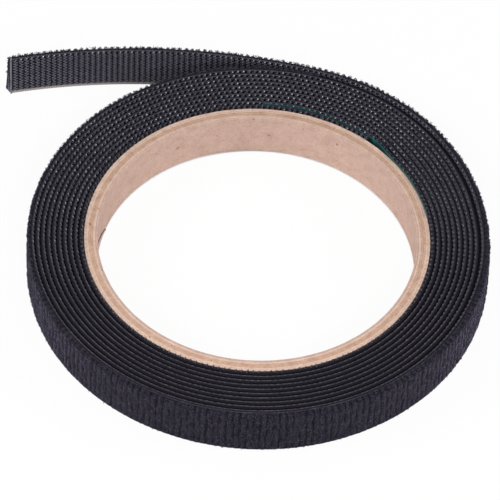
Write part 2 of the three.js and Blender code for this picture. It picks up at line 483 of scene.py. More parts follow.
class Finish:
    """A material with a Principled shader and the few nodes that vary it."""

    def __init__(self, name, **sockets):
        self.material = bpy.data.materials.new(name)
        self.material.use_nodes = True
        self.nodes = self.material.node_tree.nodes
        self.links = self.material.node_tree.links
        self.shader = self.nodes["Principled BSDF"]
        for socket, value in sockets.items():
            self.shader.inputs[socket.replace("_", " ")].default_value = value
        self.coords = self.nodes.new("ShaderNodeTexCoord")

    def link(self, source, target):
        self.links.new(source, target)
        return target

    def scaled(self, output, scale):
        mapping = self.nodes.new("ShaderNodeMapping")
        mapping.inputs["Scale"].default_value = scale
        self.link(self.coords.outputs[output], mapping.inputs["Vector"])
        return mapping.outputs["Vector"]

    def noise(self, output="Object", scale=(1, 1, 1), detail=3, roughness=0.55):
        texture = self.nodes.new("ShaderNodeTexNoise")
        texture.inputs["Scale"].default_value = 1
        texture.inputs["Detail"].default_value = detail
        texture.inputs["Roughness"].default_value = roughness
        self.link(self.scaled(output, scale), texture.inputs["Vector"])
        return texture.outputs["Fac"]

    def bands(self, output, scale, direction):
        texture = self.nodes.new("ShaderNodeTexWave")
        texture.bands_direction = direction
        texture.inputs["Scale"].default_value = 1
        self.link(self.scaled(output, scale), texture.inputs["Vector"])
        return texture.outputs["Fac"]

    def ramp(self, value, *stops):
        ramp = self.nodes.new("ShaderNodeValToRGB")
        elements = ramp.color_ramp.elements
        while len(elements) < len(stops):
            elements.new(0.5)
        for element, (position, colour) in zip(elements, stops):
            element.position = position
            element.color = colour
        self.link(value, ramp.inputs["Fac"])
        return ramp.outputs["Color"]

    def blend(self, share, first, second, mode="MIX"):
        mix = self.nodes.new("ShaderNodeMix")
        mix.data_type = "RGBA"
        mix.blend_type = mode
        for socket, value in (("Factor_Float", share), ("A_Color", first), ("B_Color", second)):
            target = next(entry for entry in mix.inputs if entry.identifier == socket)
            if isinstance(value, (int, float, tuple)):
                target.default_value = value
            else:
                self.link(value, target)
        return next(entry for entry in mix.outputs if entry.identifier == "Result_Color")

    def sums(self, operation, first, second):
        return joined(self.material.node_tree, operation, first, second)

    def colour(self, value):
        self.link(value, self.shader.inputs["Base Color"])

    def bump(self, height, strength, distance):
        bump = self.nodes.new("ShaderNodeBump")
        bump.inputs["Strength"].default_value = strength
        bump.inputs["Distance"].default_value = distance
        self.link(height, bump.inputs["Height"])
        self.link(bump.outputs["Normal"], self.shader.inputs["Normal"])


BLACK = (0, 0, 0, 1)
WHITE = (1, 1, 1, 1)


def paperboard(name, dark, light, fleck):
    """Kraft paper: cloudy colour, short fibres, and dark flecks here and there."""
    finish = Finish(name, Roughness=0.88, Specular_IOR_Level=0.25)
    cloud = finish.noise(scale=(420, 420, 420), detail=5, roughness=0.65)
    paper = finish.ramp(cloud, (0.3, dark), (0.7, light))
    fibre = finish.noise(scale=(1900, 1900, 2600), detail=3, roughness=0.6)
    fibre_tone = finish.ramp(fibre, (0.3, (0.78, 0.76, 0.74, 1)), (0.62, WHITE))
    paper = finish.blend(0.75, paper, fibre_tone, "MULTIPLY")
    spot = finish.noise(scale=(820, 820, 820), detail=1)
    spots = finish.ramp(spot, (0.73, BLACK), (0.78, WHITE))
    finish.colour(finish.blend(spots, paper, fleck))
    finish.bump(fibre, 0.35, 0.04 * MM)
    return finish.material


def woven_cloth(name, dark, light, edge, lower_edge):
    """Woven nylon: crossing yarns, with a paler upper edge and the palest tone at the lower edge."""
    finish = Finish(name, Roughness=0.6, Specular_IOR_Level=0.1)
    weft = finish.bands("UV", (0.5 / TURN_STEP, 1, 1), "X")
    warp = finish.bands("UV", (1, 0.5 / HOOK_PITCH, 1), "Y")
    weave = finish.sums("MULTIPLY", weft, warp)
    cloth = finish.ramp(weave, (0.1, dark), (0.9, light))
    parts = finish.nodes.new("ShaderNodeSeparateXYZ")
    finish.link(finish.coords.outputs["UV"], parts.inputs["Vector"])
    reach = finish.sums("DIVIDE", parts.outputs["Y"], TAPE_WIDTH)
    upper = finish.ramp(reach, (0.975, BLACK), (0.99, WHITE))
    lower = finish.ramp(reach, (0.06, WHITE), (0.085, BLACK))
    tone = finish.noise(scale=(1500, 1500, 1500), detail=2)
    edge_tone = finish.ramp(tone, (0.35, shaded(edge, 0.55)), (0.65, edge))
    cloth = finish.blend(upper, cloth, edge_tone)
    slanting = finish.ramp(weft, (0.2, shaded(lower_edge, 0.6)), (0.8, lower_edge))
    finish.colour(finish.blend(lower, cloth, slanting))
    finish.bump(weave, 0.5, 0.05 * MM)
    return finish.material


def fine_grain(finish):
    """The fine uneven skin of drawn nylon."""
    grain = finish.noise(scale=(6000, 6000, 6000), detail=1)
    finish.bump(grain, 0.2, 0.02 * MM)


def nylon_yarn(name, dark, light, roughness, gloss, uneven=(0.32, 0.68)):
    """Smooth nylon wire or yarn, a little uneven in tone."""
    finish = Finish(name, Roughness=roughness, Specular_IOR_Level=gloss)
    tone = finish.noise(scale=(1300, 1300, 1300), detail=3, roughness=0.75)
    finish.colour(finish.ramp(tone, (uneven[0], dark), (uneven[1], light)))
    fine_grain(finish)
    return finish.material


def crossed_cord(name, dark, light, roughness, gloss):
    """A smooth nylon cord, dark where a yarn crosses it beside each rib."""
    finish = Finish(name, Roughness=roughness, Specular_IOR_Level=gloss)
    crossing = finish.bands("UV", (math.pi / 10 / RIB_PITCH, 1, 1), "X")
    tone = finish.noise(scale=(900, 900, 900), detail=3, roughness=0.75)
    mixed = finish.sums("ADD", finish.sums("MULTIPLY", crossing, 0.22), tone)
    finish.colour(finish.ramp(mixed, (0.4, dark), (0.82, light)))
    fine_grain(finish)
    return finish.material


def napped_pile(name, dark, middle, light, sheen):
    """Brushed loop pile: matt, with a soft sheen, and painted shade that darkens the furrows across the
    tape.
    """
    finish = Finish(name, Roughness=0.95, Specular_IOR_Level=0.05)
    finish.shader.inputs["Sheen Weight"].default_value = sheen
    finish.shader.inputs["Sheen Roughness"].default_value = 0.35
    finish.shader.inputs["Sheen Tint"].default_value = linear(158, 152, 178)
    # Painted shade and light: the 'nap' attribute darkens the pile in its furrows and lightens the tufts.
    crest = finish.nodes.new("ShaderNodeAttribute")
    crest.attribute_name = "nap"
    streak = finish.noise("UV", (1500, 420, 1), detail=3, roughness=0.65)
    nap = finish.noise(scale=(2200, 2200, 2200), detail=3, roughness=0.7)
    mixed = finish.sums("ADD", finish.sums("MULTIPLY", streak, 0.4), finish.sums("MULTIPLY", nap, 0.6))
    mixed = finish.sums("ADD", mixed, finish.sums("MULTIPLY", crest.outputs["Fac"], 0.24))
    finish.colour(finish.ramp(mixed, (0.45, dark), (0.67, middle), (0.85, light)))
    finish.bump(nap, 0.9, 0.12 * MM)
    return finish.material


def film_plastic(name, dark, light):
    """Thin tinted film, smooth and a little clouded."""
    finish = Finish(name, Roughness=0.3, Specular_IOR_Level=0.5)
    cloud = finish.noise(scale=(500, 500, 500), detail=3)
    finish.colour(finish.ramp(cloud, (0.35, dark), (0.65, light)))
    finish.bump(cloud, 0.15, 0.05 * MM)
    return finish.material


LINER_PAPER = paperboard("liner_paper", linear(192, 162, 148), linear(210, 181, 168), linear(150, 114, 96))
DARK_BOARD = paperboard("dark_board", linear(188, 151, 129), linear(214, 180, 159), linear(134, 98, 74))
PALE_BOARD = paperboard("pale_board", linear(210, 178, 161), linear(228, 200, 183), linear(166, 128, 104))
WRAP_PAPER = paperboard("wrap_paper", linear(214, 182, 164), linear(234, 208, 191), linear(170, 132, 108))
TEAL_FILM = film_plastic("teal_film", linear(22, 62, 67), linear(38, 92, 95))
HOOK_CLOTH_FINISH = woven_cloth(
    "hook_cloth", linear(20, 17, 24), linear(38, 35, 45), linear(58, 56, 67), linear(182, 172, 169)
)
LOOP_CLOTH_FINISH = woven_cloth(
    "loop_cloth", linear(24, 22, 28), linear(36, 34, 42), linear(34, 32, 40), linear(34, 32, 40)
)
HOOK_NYLON = nylon_yarn("hook_nylon", linear(70, 68, 79), linear(104, 102, 116), 0.32, 0.3)
# Painted glints: the palest tones of the rib ends stand in for highlights.
RIB_END_GLINT_NYLON = nylon_yarn(
    "rib_end_painted_glints", linear(70, 68, 80), linear(244, 244, 250), 0.24, 0.5, (0.43, 0.63)
)
CUT_END_NYLON = nylon_yarn("cut_end_nylon", linear(84, 83, 95), linear(122, 122, 135), 0.3, 0.4)
EDGE_YARN = nylon_yarn("edge_yarn", linear(24, 22, 28), linear(40, 38, 46), 0.4, 0.12)
# Painted shade: a darker copy of the edge yarn for the innermost turn.
FIRST_TURN_SHADED_YARN = nylon_yarn("first_turn_shaded_yarn", linear(20, 18, 24), linear(34, 32, 39), 0.5, 0.1)
EDGE_CORD_NYLON = crossed_cord("edge_cord_nylon", linear(20, 18, 24), linear(88, 86, 99), 0.28, 0.22)
# Painted shade: a darker copy of the edge cord for the innermost turn.
FIRST_CORD_SHADED_NYLON = crossed_cord("first_cord_shaded_nylon", linear(18, 16, 22), linear(48, 46, 55), 0.4, 0.12)
KNOT_NYLON = nylon_yarn("knot_nylon", linear(28, 26, 33), linear(96, 94, 106), 0.34, 0.24, (0.4, 0.7))
# Painted light: a lighter copy of the edge yarn for the free end, which stands open to the lamps.
FREE_EDGE_LIT_YARN = nylon_yarn("free_edge_lit_yarn", linear(58, 56, 66), linear(88, 86, 98), 0.35, 0.25)
SELVAGE_YARN = nylon_yarn("selvage_yarn", linear(130, 122, 120), linear(178, 169, 166), 0.5, 0.3)
LOOP_PILE = napped_pile("loop_pile", linear(14, 12, 17), linear(37, 35, 43), linear(65, 62, 74), 0.7)
PRESSED_LOOPS = napped_pile("pressed_loops", linear(18, 16, 22), linear(28, 26, 33), linear(40, 37, 45), 0)


# Core

CORE_STEPS = 480
PLY_ROUNDING = 0.07 * MM
PLY_SWELL = 0.02 * MM
WRAP_SWELL = 0.01 * MM
RIM_ROUGHNESS = 0.05 * MM
RIM_WEAR = 0.6
RIM_REACH = 0.25 * MM
RIM_GRAINS = (0.9 * MM, 0.35 * MM)
FINE_GRAIN_SHARE = 0.6
SEAM_WIDTH = 0.4 * MM
SEAM_ANGLE = 182
SEAM_SLANT = 64
SEAM_SLANT_REACH = 40 * MM
SEAM_LIFT = 0.24 * MM
SEAM_LIFT_REACH = 5 * MM
SEAM_LIFT_HEIGHT = 0.75
LINER_STEP = 0.5 * MM
LINER_CUTS = 36


def roughen_rims(points):
    """Moves the points near a ply's two cut rims up and down a little."""
    near = np.minimum(points[:, 2] - core_low.z, core_high.z - points[:, 2])
    share = np.clip(1 - near / RIM_REACH, 0, 1)
    coarse, fine = RIM_GRAINS
    rough = value_noise(points, coarse) + FINE_GRAIN_SHARE * value_noise(points, fine)
    moved = points.copy()
    moved[:, 2] += RIM_ROUGHNESS * share * (rough - RIM_WEAR)
    return moved


def ply_section(bm, inner, outer):
    """The outline of a ply's wall, upright beside the axis, with its corners eased."""
    corners = [
        bm.verts.new((ROLL_AXIS[0] + radius, ROLL_AXIS[1], height))
        for radius, height in (
            (inner, core_low.z),
            (outer, core_low.z),
            (outer, core_high.z),
            (inner, core_high.z),
        )
    ]
    bm.faces.new(corners)
    bmesh.ops.bevel(
        bm, geom=corners, offset=PLY_ROUNDING, affect="VERTICES", segments=2, profile=0.5, material=-1
    )
    by_height = sorted(bm.edges, key=lambda edge: sum(vert.co.z for vert in edge.verts))
    bmesh.ops.subdivide_edges(bm, edges=[by_height[0], by_height[-1]], cuts=2)
    bmesh.ops.delete(bm, geom=bm.faces[:], context="FACES_ONLY")


def core_ply(node, finish, swell):
    """One ring of board, with a rough cut rim at each end."""
    inner, outer = ring_radii(node)
    bm = bmesh.new()
    ply_section(bm, inner - swell, outer + swell)
    bmesh.ops.spin(
        bm,
        geom=bm.verts[:] + bm.edges[:],
        axis=(0, 0, 1),
        cent=(*ROLL_AXIS, 0),
        dvec=(0, 0, 0),
        angle=math.tau,
        steps=CORE_STEPS,
        use_merge=True,
    )
    mesh = to_mesh(bm, node)
    place(mesh, roughen_rims(coordinates(mesh)))
    piece = make_piece(node + "_paper", mesh, finish)
    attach(piece, "roll")
    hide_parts(node)


def core_liner():
    """The innermost paper, a strip with slanted ends that meet at a butt seam, one end lifting."""
    node = "core_inner_liner"
    inner, outer = ring_radii(node)
    height = core_high.z - core_low.z
    length = math.tau * inner - SEAM_WIDTH / math.cos(math.radians(SEAM_SLANT))
    wall = (0, outer - inner)
    mesh = strip(0, length, LINER_STEP, 0, height, wall, PLY_ROUNDING, LINER_CUTS, LINER_CUTS)
    flat = coordinates(mesh)
    lift = SEAM_LIFT * np.clip(1 - flat[:, 0] / SEAM_LIFT_REACH, 0, 1) ** 2
    lift *= np.clip(1 - flat[:, 1] / (SEAM_LIFT_HEIGHT * height), 0, 1)
    from_seam = np.minimum(flat[:, 0], length - flat[:, 0])
    slant = (flat[:, 1] - height / 2) * math.tan(math.radians(SEAM_SLANT))
    slant *= 1 - smooth_rise(from_seam, 0, SEAM_SLANT_REACH)
    angle = math.radians(SEAM_ANGLE) + (flat[:, 0] + slant) / inner
    radius = inner + flat[:, 2] - lift
    level = ROLL_AXIS + radius[:, None] * outward_at(angle)
    points = np.column_stack([level, core_low.z + flat[:, 1]])
    place(mesh, roughen_rims(points))
    piece = make_piece(node + "_paper", mesh, LINER_PAPER)
    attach(piece, "roll")
    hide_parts(node)


core_liner()
for ply, board in ((1, PALE_BOARD), (2, DARK_BOARD), (3, DARK_BOARD), (4, PALE_BOARD)):
    core_ply(f"core_ply_{ply}", board, PLY_SWELL)
core_ply("core_outer_wrap", WRAP_PAPER, WRAP_SWELL)


# Starter film

FILM_STEP = 0.4 * MM
FILM_DEPTHS = (-0.13 * MM, -0.05 * MM)
FILM_ROUNDING = 0.02 * MM
FILM_RISES = (0.35 * MM, 0.25 * MM)
FILM_CORNER = 0.6 * MM
FILM_WAVES = ((0.05 * MM, 40), (0.04 * MM, 93))


def starter_film():
    """The film under the second turn; its upper edge stands a little proud of the tape's edge."""
    start, end = np.interp((360 - FILM_REACH, 360 + FILM_REACH), path_turned, path_length)
    low = film_low.z - tape_low.z
    high = film_high.z - tape_low.z
    mesh = strip(start, end, FILM_STEP, low, high, FILM_DEPTHS, FILM_ROUNDING)
    flat = coordinates(mesh)
    along = (flat[:, 0] - start) / (end - start)
    first_rise, last_rise = FILM_RISES
    proud = first_rise * (1 - smooth_rise(along, 0.42, 0.5))
    proud += last_rise * smooth_rise(along, 0.6, 0.95) - FILM_CORNER * smooth_rise(along, 0.975, 0.98)
    wave = sum(height * np.sin(along * rate) for height, rate in FILM_WAVES)
    flat[:, 1] += np.where(flat[:, 1] > TAPE_WIDTH / 2, proud + wave, 0)
    place(mesh, flat)
    piece = tape_piece("starter_film_strip", mesh, TEAL_FILM)
    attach(piece, "roll")
    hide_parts("starter_film")


starter_film()


# Parts of the tape, on the flat, between two places along it


def cloth(start, end, inset, depths):
    """One of the two woven strips."""
    return strip(start, end, TAPE_STEP, inset, TAPE_WIDTH - inset, depths, CLOTH_ROUNDING)


def hook_rows():
    """Where the rows of hooks stand across the tape."""
    top_row = TAPE_WIDTH - HOOK_TOP_EDGE
    rows = math.floor((top_row - HOOK_LOW_EDGE) / HOOK_PITCH)
    return top_row - HOOK_PITCH * np.arange(rows, -1, -1)


def hook_template():
    """One hook on its short length of rib."""
    base = HOOK_CLOTH[0] + HOOK_ROOT
    bm = bent_wire(HOOK_WIRE, 4, HOOK_STEM, HOOK_REACH / 2, HOOK_CURL, 4, base)
    bmesh.ops.scale(bm, verts=bm.verts, vec=(1, HOOK_BREADTH, 1))
    foot = bmesh.ops.create_cone(
        bm, segments=6, radius1=0.5, radius2=0.5, depth=HOOK_PITCH * RIB_FOOT_OVERLAP, cap_ends=True
    )["verts"]
    bmesh.ops.rotate(bm, verts=foot, cent=(0, 0, 0), matrix=Matrix.Rotation(math.pi / 2, 3, "X"))
    bmesh.ops.scale(bm, verts=foot, vec=(RIB_FOOT[0], 1, RIB_FOOT[1]))
    bmesh.ops.translate(bm, verts=foot, vec=(0, 0, RIB_FOOT_DEPTH))
    return to_mesh(bm, "hook")


def places_between(start, end, pitch):
    """Places at a pitch along the tape, counted from its inner end so that neighbours follow on."""
    first = math.ceil(start / pitch - 0.5)
    last = math.ceil(end / pitch - 0.5)
    return (np.arange(first, last) + 0.5) * pitch


def hooks(start, end, rows):
    """Hooks in ribs, leaning left and right by turns, each a little out of line."""
    ribs = places_between(start, end, RIB_PITCH)
    mesh, copies = array_of(hook_template(), len(ribs) * len(rows))
    rib, row = np.meshgrid(ribs, rows, indexing="ij")
    below_top = np.round((TAPE_WIDTH - HOOK_TOP_EDGE - row.ravel()) / HOOK_PITCH).astype(int)
    side = np.where(below_top % 2 == 0, 1, -1)
    size = rng.uniform(*HOOK_SIZES, len(copies))
    turn = rng.normal(0, HOOK_TWIST, len(copies))
    root = HOOK_CLOTH[0]
    shape = copies - np.array([0, 0, root])
    along = shape[..., 0] * np.cos(turn)[:, None]
    across = shape[..., 1] + shape[..., 0] * np.sin(turn)[:, None]
    copies[..., 0] = rib.ravel()[:, None] + side[:, None] * along
    copies[..., 1] = row.ravel()[:, None] + side[:, None] * across
    copies[..., 2] = root + shape[..., 2] * size[:, None]
    place(mesh, copies.reshape(-1, 3))
    return mesh


def rib_knobs(start, end, size, edge, knob_depth, slant, glint_fade=0):
    """A small knob on each rib near the tape's upper edge, each turned a little, and made smaller by the
    given share where the winding faces the angle at which the painted glints thin out.
    """
    bm = bmesh.new()
    bmesh.ops.create_icosphere(bm, subdivisions=1, radius=0.5)
    bmesh.ops.scale(bm, verts=bm.verts, vec=size)
    ribs = places_between(start, end, RIB_PITCH)
    count = len(ribs)
    mesh, copies = array_of(to_mesh(bm, "knob"), count)
    # Painted glints: the knobs shrink where the winding faces the fade angle.
    copies *= (1 - glint_fade * facing(ribs, GLINT_FADE_ANGLE) ** GLINT_FADE_FALL)[:, None, None]
    along, across, depth = (copies[..., axis].copy() for axis in range(3))
    turn = rng.normal(0, KNOB_TWIST, count)[:, None]
    tilt = rng.normal(0, KNOB_TWIST, count)[:, None]
    copies[..., 0] = along * np.cos(turn) - across * np.sin(turn) + slant * depth
    copies[..., 1] = across * np.cos(turn) + along * np.sin(turn) + tilt * depth
    copies[..., 2] = depth - tilt * across + knob_depth
    copies[..., 0] += (ribs + rng.normal(0, KNOB_DRIFT[0], count))[:, None]
    copies[..., 1] += TAPE_WIDTH - edge + rng.normal(0, KNOB_DRIFT[1], count)[:, None]
    place(mesh, copies.reshape(-1, 3))
    return mesh


def rib_ends(start, end):
    """The upper end of each rib, a short slanting bar whose pale tones are painted glints."""
    return rib_knobs(start, end, RIB_END, RIB_END_EDGE, RIB_END_DEPTH, RIB_END_SLANT, GLINT_FADE_SHARE)


def edge_knots(start, end):
    """The knot in the cloth's edge above each rib."""
    return rib_knobs(start, end, EDGE_KNOT, EDGE_KNOT_EDGE, EDGE_KNOT_DEPTH, EDGE_KNOT_SLANT)


def edge_cord(start, end):
    """The smooth cord woven along the cloth's upper edge, on its hook side."""
    low, high = (TAPE_WIDTH - edge for edge in EDGE_CORD_EDGES)
    return strip(start, end, TAPE_STEP, low, high, EDGE_CORD, EDGE_CORD_ROUNDING)


def inner_ribs(start, end):
    """The hooks in the middle of the winding, hidden between the turns, as one thick strip."""
    low, high = INNER_RIB_EDGES[0], TAPE_WIDTH - INNER_RIB_EDGES[1]
    return strip(start, end, TAPE_STEP, low, high, INNER_RIBS)


def edge_turns(start, end, upper):
    """Weft yarns that wrap round one edge of the cloth, side by side."""
    middle = sum(HOOK_CLOTH) / 2
    bm = bent_wire(TURN_YARN, 4, 0, TURN_BEND, 180, 3, 0)
    bmesh.ops.translate(bm, verts=bm.verts, vec=(-TURN_BEND, 0, 0))
    bmesh.ops.scale(bm, verts=bm.verts, vec=(1, TURN_BREADTH, 1))
    bmesh.ops.rotate(bm, verts=bm.verts, cent=(0, 0, 0), matrix=Matrix.Rotation(-math.pi / 2, 3, "Z"))
    bmesh.ops.rotate(bm, verts=bm.verts, cent=(0, 0, 0), matrix=Matrix.Rotation(math.pi / 2, 3, "X"))
    places = places_between(start, end, TURN_STEP)
    mesh, copies = array_of(to_mesh(bm, "edge_turn"), len(places))
    flat = copies.copy()
    rise = TURN_BEND + TURN_YARN / 2
    size = rng.uniform(*TURN_SIZES, len(copies))[:, None]
    copies[..., 0] = flat[..., 0] + places[:, None] + TURN_SLANT * flat[..., 2]
    height = flat[..., 1] * size
    copies[..., 1] = TAPE_WIDTH - rise + height if upper else rise - height
    copies[..., 2] = middle + flat[..., 2]
    place(mesh, copies.reshape(-1, 3))
    return mesh


def pile_spots(along, across):
    """Places for the pile's noise, which is drawn out across the tape."""
    return np.column_stack([along, across]) * np.array([1, 0.5])


def pile_crest(along, across):
    """0 in a furrow between two pile columns and 1 on them. Some furrows are matted over in places."""
    spots = pile_spots(along, across)
    drift = PILE_DRIFT * value_noise(spots, PILE_DRIFT_SIZE)
    open_furrow = smooth_rise(np.abs(np.sin((along + drift) * math.pi / PILE_COLUMN)), 0, FURROW_RISE)
    matted = smooth_rise(value_noise(spots + MATTED_SHIFT, MATTED_SIZE), 0, MATTED_RISE)
    return open_furrow + (1 - open_furrow) * MATTED_SHARE * matted


def pile_fullness(along):
    """How much fuller the pile stands at the front of the roll, past where the free end comes down."""
    outer_turned = np.interp(along, path_length, path_turned) - (WOUND_ANGLE - 360)
    fullness = PILE_FULLNESS * facing(along, FULLEST_ANGLE) ** FULLNESS_FALL
    return fullness * smooth_rise(outer_turned, *FULLNESS_RISE)


def pile_height(along, across):
    """How far the free pile's napped body stands up from its cloth."""
    spots = pile_spots(along, across)
    fine, coarse = PILE_LUMP_SIZES
    lumps = value_noise(spots, fine) + COARSE_LUMP_SHARE * value_noise(spots + LUMP_SHIFT, coarse)
    edge = np.minimum(across / PILE_EDGES[0], (TAPE_WIDTH - across) / PILE_EDGES[1])
    easing = np.sqrt(np.clip(edge, PILE_EDGE_LEAST, 1))
    furrows = PILE_RIDGE * (pile_crest(along, across) - 1) + PILE_LUMP * lumps
    evened = EVENED_SHARE + (1 - EVENED_SHARE) * smooth_rise(across, 0, EVENED_REACH)
    return easing * (PILE_BODY + PILE_RIDGE + pile_fullness(along) + evened * furrows)


def ragged_end(flat, end):
    """Draws the points near the pile's free end out unevenly, most of all at its lower corner."""
    near = smooth_rise(flat[:, 0], end - FRAY_REACH, end)
    frayed = FRAY * value_noise(flat[:, 1:2], FRAY_SIZE)
    bulge = BULGE * (1 - smooth_rise(flat[:, 1], *BULGE_HEIGHTS))
    corner = ROUNDED_CORNER * (1 - smooth_rise(flat[:, 1], 0, ROUNDED_CORNER_HEIGHT))
    flat[:, 0] += near * (frayed + bulge - corner)


def pile_body(start, end, free=False):
    """The matted body of the free pile, as a strip with a lumpy outer face."""
    root, top = LOOP_CLOTH[1] - PILE_SINK, LOOP_CLOTH[1] + PILE_BODY
    low, high = PILE_INSET, TAPE_WIDTH - PILE_INSET
    mesh = strip(start, end, PILE_STEP, low, high, (root, top), 0, PILE_CUTS)
    flat = coordinates(mesh)
    raised = flat[:, 2] > (root + top) / 2
    height = pile_height(flat[:, 0], np.clip(flat[:, 1], 0, TAPE_WIDTH))
    flat[raised, 2] = LOOP_CLOTH[1] + height[raised]
    if free:
        ragged_end(flat, end)
    place(mesh, flat)
    # Painted shade: the body is darker in its furrows.
    store_pile_shading(mesh, BODY_PAINTED_SHADING * pile_crest(flat[:, 0], flat[:, 1]))
    return mesh


def pile_loop():
    """One small loop of pile fibre, standing up from its root."""
    bm = bent_wire(PILE_FIBRE, 3, 0, PILE_LOOP, LOOP_CURL, 3, 0)
    bmesh.ops.translate(bm, verts=bm.verts, vec=(-PILE_LOOP, 0, 0))
    bmesh.ops.scale(bm, verts=bm.verts, vec=(1, 1, -1))
    return to_mesh(bm, "pile_loop")


def edge_tufts(start, end):
    """Tufts of loops at the end of each pile column, leaning up over the tape's upper edge."""
    columns = np.repeat(places_between(start, end, PILE_COLUMN), TUFT_LOOPS)
    count = len(columns)
    mesh, copies = array_of(pile_loop(), count)
    size = rng.uniform(*TUFT_SIZES, count)[:, None]
    heading = rng.uniform(0, math.tau, count)[:, None]
    tilt = rng.uniform(*TUFT_TILTS, count)[:, None]
    along = columns + rng.normal(0, TUFT_SPREAD, count)
    across = TAPE_WIDTH - rng.uniform(*TUFT_EDGES, count)
    depth = LOOP_CLOTH[1] + rng.uniform(0, 1, count) * (TUFT_DEPTH + pile_fullness(along))
    x = copies[..., 0] * np.cos(heading) * size
    y = copies[..., 0] * np.sin(heading) * size
    z = copies[..., 2] * size
    thick = copies[..., 1]
    copies[..., 0] = along[:, None] + x + thick * np.sin(heading)
    copies[..., 1] = across[:, None] + z * np.sin(tilt) + thick * np.cos(heading)
    copies[..., 2] = depth[:, None] + z * np.cos(tilt) + y
    place(mesh, copies.reshape(-1, 3))
    # Painted light: the tufts are lighter, at random per loop.
    store_pile_shading(mesh, np.repeat(rng.uniform(*TUFT_PAINTED_SHADING, count), copies.shape[1]))
    return mesh


def pile_loops(start, end, free=False):
    """Loose loops and fibres of the free pile, on its columns and mostly lying across the tape."""
    tries = round((end - start) * TAPE_WIDTH / MM**2 * PILE_LOOPS_PER_MM2)
    along = rng.uniform(start, end, tries)
    across = rng.uniform(LOOP_EDGES[0], TAPE_WIDTH - LOOP_EDGES[1], tries)
    crest = pile_crest(along, across)
    grown = crest > rng.uniform(LOOP_CREST, 1, tries)
    along, across, crest = along[grown], across[grown], crest[grown]
    count = len(along)
    mesh, copies = array_of(pile_loop(), count)
    heading = rng.normal(math.pi / 2, LOOP_TWIST, count)
    size = rng.uniform(*LOOP_SIZES, count)
    lean = rng.normal(0, LOOP_LEAN, (count, 2))
    lean[:, 1] += EDGE_LEAN * np.clip((across - TAPE_WIDTH + EDGE_LEAN_REACH) / EDGE_LEAN_REACH, 0, 1)
    if free:
        lean[:, 0] += np.clip((along - end + EDGE_LEAN_REACH) / EDGE_LEAN_REACH, 0, 1)
    flat = copies * size[:, None, None]
    x = flat[..., 0] * np.cos(heading)[:, None] - flat[..., 1] * np.sin(heading)[:, None]
    y = flat[..., 0] * np.sin(heading)[:, None] + flat[..., 1] * np.cos(heading)[:, None]
    z = flat[..., 2]
    copies[..., 0] = along[:, None] + x + lean[:, :1] * z
    copies[..., 1] = across[:, None] + y + lean[:, 1:] * z
    root = LOOP_CLOTH[1] + pile_height(along, across) - LOOP_SINK
    copies[..., 2] = root[:, None] + z
    copies[..., 1] = np.maximum(copies[..., 1], LOOP_LOWEST)
    flat = copies.reshape(-1, 3)
    if free:
        ragged_end(flat, end)
    place(mesh, flat)
    # Painted shade: loops in the furrows are darker, at random per loop.
    store_pile_shading(mesh, np.repeat(crest * rng.uniform(*LOOP_PAINTED_SHADING, count), copies.shape[1]))
    return mesh


def pressed_pile(start, end):
    """The pile caught between two turns, with an uneven upper and lower edge."""
    low, high = PRESSED_PILE_SINK, TAPE_WIDTH - PRESSED_PILE_SINK
    mesh = strip(start, end, TAPE_STEP, low, high, PRESSED_PILE, PRESSED_PILE_ROUNDING)
    flat = coordinates(mesh)
    store_pile_shading(mesh, np.full(len(flat), PRESSED_PAINTED_SHADING))
    rough = value_noise(flat[:, :1] + flat[:, 1:2] * 0.2, PRESSED_PILE_GRAIN)
    flat[:, 1] += PRESSED_PILE_ROUGHNESS * rough * np.sign(flat[:, 1] - TAPE_WIDTH / 2)
    turned = np.interp(flat[:, 0], path_length, path_turned)
    room = winding_rise(turned + 360) - winding_rise(turned) - TURN_PITCH
    flat[:, 2] += np.where(flat[:, 2] > np.mean(PRESSED_PILE), np.maximum(room, 0), 0)
    place(mesh, flat)
    return mesh


# Wound tape


